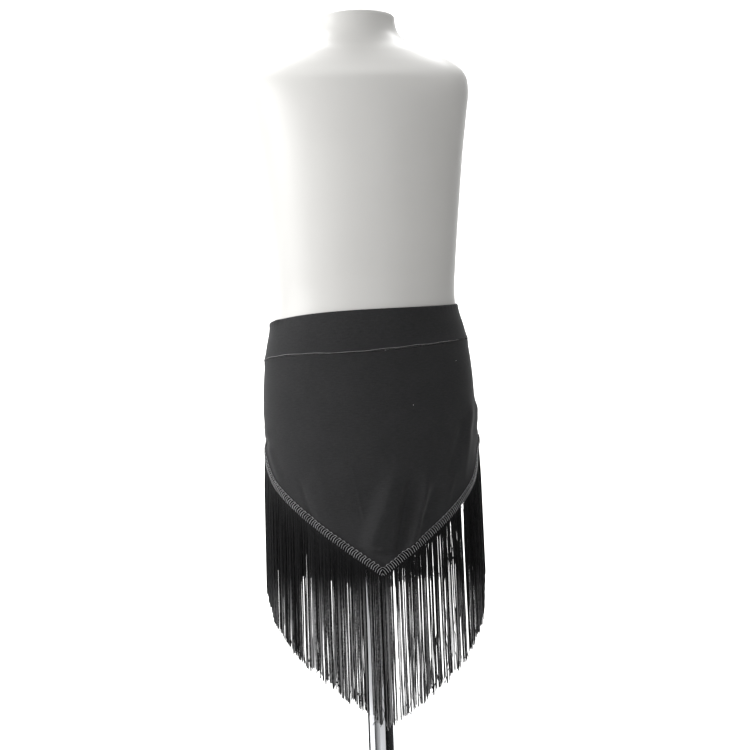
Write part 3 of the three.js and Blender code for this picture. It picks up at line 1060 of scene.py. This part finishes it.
# %% Torso material
def satin_white(name):
    material, tree = new_material(name)
    place = add_node(tree, "TexCoord").outputs["Object"]
    cloud = add_node(tree, "TexNoise", {"Vector": place, "Scale": 1 / (120 * MM), "Detail": 2.0})
    tone = add_node(tree, "Mix", {0: cloud, 6: linear("#cccbc8"), 7: linear("#d6d5d2")}, data_type="RGBA")
    peel = add_node(tree, "TexNoise", {"Vector": place, "Scale": 1 / (3.5 * MM), "Detail": 2.0})
    bump = add_node(tree, "Bump", {"Height": peel, "Strength": 0.12, "Distance": 0.15 * MM})
    return finished(material, {"Base Color": tone.outputs[2], "Normal": bump, "Roughness": 0.42, "IOR": 1.49})


form_white = satin_white("satin_white_shell")

# %% Metal materials
def plated(name, colour, roughness, ring_width, depth):
    """A metal with fine turning or polishing marks in rings about the pole."""
    material, tree = new_material(name)
    place = add_node(tree, "TexCoord").outputs["Object"]
    marks = add_node(
        tree, "TexWave",
        {"Vector": place, "Scale": wave_unit / (ring_width * MM), "Distortion": 3.0, "Detail": 3.0},
        wave_type="RINGS", rings_direction="Z",
    )
    smear = add_node(tree, "TexNoise", {"Vector": place, "Scale": 1 / (25 * MM), "Detail": 4.0})
    gloss = add_node(tree, "MapRange", {"Value": smear, "To Min": roughness * 0.8, "To Max": roughness * 1.3})
    bump = add_node(tree, "Bump", {"Height": marks.outputs["Fac"], "Strength": 0.3, "Distance": depth * MM})
    return finished(
        material, {"Base Color": linear(colour), "Metallic": 1.0, "Roughness": gloss, "Normal": bump}
    )


chrome = plated("polished_chrome", "#d2d3d6", 0.07, 3, 0.002)
brushed = plated("brushed_steel_plate", "#b9babc", 0.3, 1.2, 0.02)

# %% Put the finishes on
finishes = [
    (jersey_black, "knit", [panel_front, panel_back, band_front, band_back]),
    (thread_grey_painted_highlight, "knit", [thread_front, thread_back]),
    (rayon_strip, "rayon", strips),
    (rayon_cord_painted_sheen, "rayon", cords + edges),
    (rayon_strand_painted_backlight, "rayon", fringes),
    (form_white, "form_skin", [form]),
    (chrome, "chrome", [pole, collar]),
    (brushed, "steel", [base]),
]
for material, slot, members in finishes:
    for piece in members:
        piece.data.materials.clear()
        piece.data.materials.append(material)
        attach(piece, "root")

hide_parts("panel_front")
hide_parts("panel_back")
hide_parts("band_front")
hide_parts("band_back")
for piece in (strips[0], cords[0], edges[0], fringes[0], fringes[1]):
    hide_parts("fringe_left")
for piece in (strips[1], cords[1], edges[1], fringes[2], fringes[3]):
    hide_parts("fringe_right")
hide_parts("dress_form")
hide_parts("stand_pole")
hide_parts("stand_collar")
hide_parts("stand_base")

# %% [markdown]
# ## Stage and light
#
# A white floor sweeps up into a white wall. A large soft light stands to the left of the camera, a
# weaker one to the right, and the white surroundings fill the rest. Three dark screens, which the camera
# does not see, stand round the pole: chrome only looks like chrome when it has something dark to mirror.

# %% Floor and backdrop
backdrop_paper, _ = new_material("backdrop_paper")
finished(backdrop_paper, {"Base Color": linear("#f4f4f4"), "Roughness": 0.95})
sweep_start, sweep_radius = 2200, 900
stage_front, stage_size = -5000, 12000


def sweep_point(across, upward):
    """The floor runs back to sweep_start, bends up over a quarter circle, and goes on as a wall."""
    run = stage_front + upward * stage_size
    x = (across - 0.5) * stage_size
    bend = run - sweep_start
    if bend <= 0:
        return Vector((x, run, 0))
    turn = min(bend / sweep_radius, quarter)
    wall = max(0.0, bend - sweep_radius * quarter)
    return Vector((
        x,
        sweep_start + sweep_radius * math.sin(turn),
        sweep_radius * (1 - math.cos(turn)) + wall,
    ))


sweep = shaped_grid("backdrop", 4, 120, sweep_point)
sweep.data.materials.append(backdrop_paper)

# %% Dark screens
def graded_black(name, first, last, pale_to):
    """A black cloth that turns paler from first to last, as directions round the pole in degrees."""
    material, tree = new_material(name)
    place = add_node(tree, "TexCoord").outputs["Object"]
    split = add_node(tree, "SeparateXYZ", {0: place})
    ahead = add_node(tree, "Math", {0: split.outputs[1], 1: -1.0}, operation="MULTIPLY")
    direction = add_node(tree, "Math", {0: split.outputs[0], 1: ahead}, operation="ARCTAN2")
    share = add_node(
        tree, "MapRange",
        {"Value": direction, "From Min": math.radians(first), "From Max": math.radians(last)},
    )
    tone = add_node(tree, "Mix", {0: share, 6: linear("#0c0c0c"), 7: linear(pale_to)}, data_type="RGBA")
    return finished(material, {
        "Base Color": tone.outputs[2], "Roughness": 0.95, "Specular IOR Level": 0.0
    })


def curved_screen(name, first, last, away, low, high, pale_to):
    """A screen on an arc round the pole. Directions are in degrees from the front, and +X is at 90."""
    def place(across, upward):
        turn = math.radians(first + across * (last - first))
        return Vector((away * math.sin(turn), -away * math.cos(turn), low + upward * (high - low)))

    piece = shaped_grid(name, 24, 2, place)
    piece.data.materials.append(graded_black(name + "_cloth", first, last, pale_to))
    piece.visible_camera = False
    return piece


screens = [
    curved_screen("dark_screen_left", 34, 134, 1100, 60, 1600, "#3a3a3a"),
    curved_screen("dark_screen_front", -60, -12, 700, 60, 620, "#c8c8c8"),
    curved_screen("dark_screen_back", -142, -112, 700, 60, 620, "#181818"),
]
print("screens:", [screen.name for screen in screens])

# %% Lights
def soft_light(name, place, target, size, power):
    data = bpy.data.lights.new(name, "AREA")
    data.shape = "RECTANGLE"
    data.size, data.size_y = size[0] * MM, size[1] * MM
    data.energy = power
    light = bpy.data.objects.new(name, data)
    light.location = metres(*place)
    light.rotation_euler = (metres(*target) - light.location).to_track_quat("-Z", "Y").to_euler()
    bpy.context.collection.objects.link(light)


soft_light("key_light", (-2200, -250, 1500), (0, 0, 750), (1300, 1600), 38)
soft_light("fill_light", (500, -2300, 1300), (0, 0, 750), (900, 1300), 5)
soft_light("backdrop_light", (0, 900, 2900), (0, 2600, 600), (3000, 800), 160)

world = bpy.data.worlds.new("studio")
bpy.context.scene.world = world
world.use_nodes = True
surroundings = world.node_tree.nodes["Background"]
surroundings.inputs["Color"].default_value = (1, 1, 1, 1)
surroundings.inputs["Strength"].default_value = 0.7
bpy.context.scene.view_settings.view_transform = "Standard"
print("lights:", [light.name for light in bpy.data.lights])

# %% [markdown]
# ## Cloth facts
#
# Each panel is a sheet; its flat area between the yoke seam and the hem, over half the body, is worked out from
# its cut and printed.

half_round = arc_table[-1] * MM
area_steps = 400


def cut_area(start, finish):
    """Flat area between the yoke seam and the hem, over half of the body."""
    total = 0.0
    for k in range(area_steps):
        angle = start + (k + 0.5) / area_steps * (finish - start)
        total += seam_height(angle) - hem_height(angle)
    return total / area_steps * MM * half_round


areas = [cut_area(-quarter, quarter), cut_area(quarter, 3 * quarter)]
print("flat areas:", [round(a, 4) for a in areas])
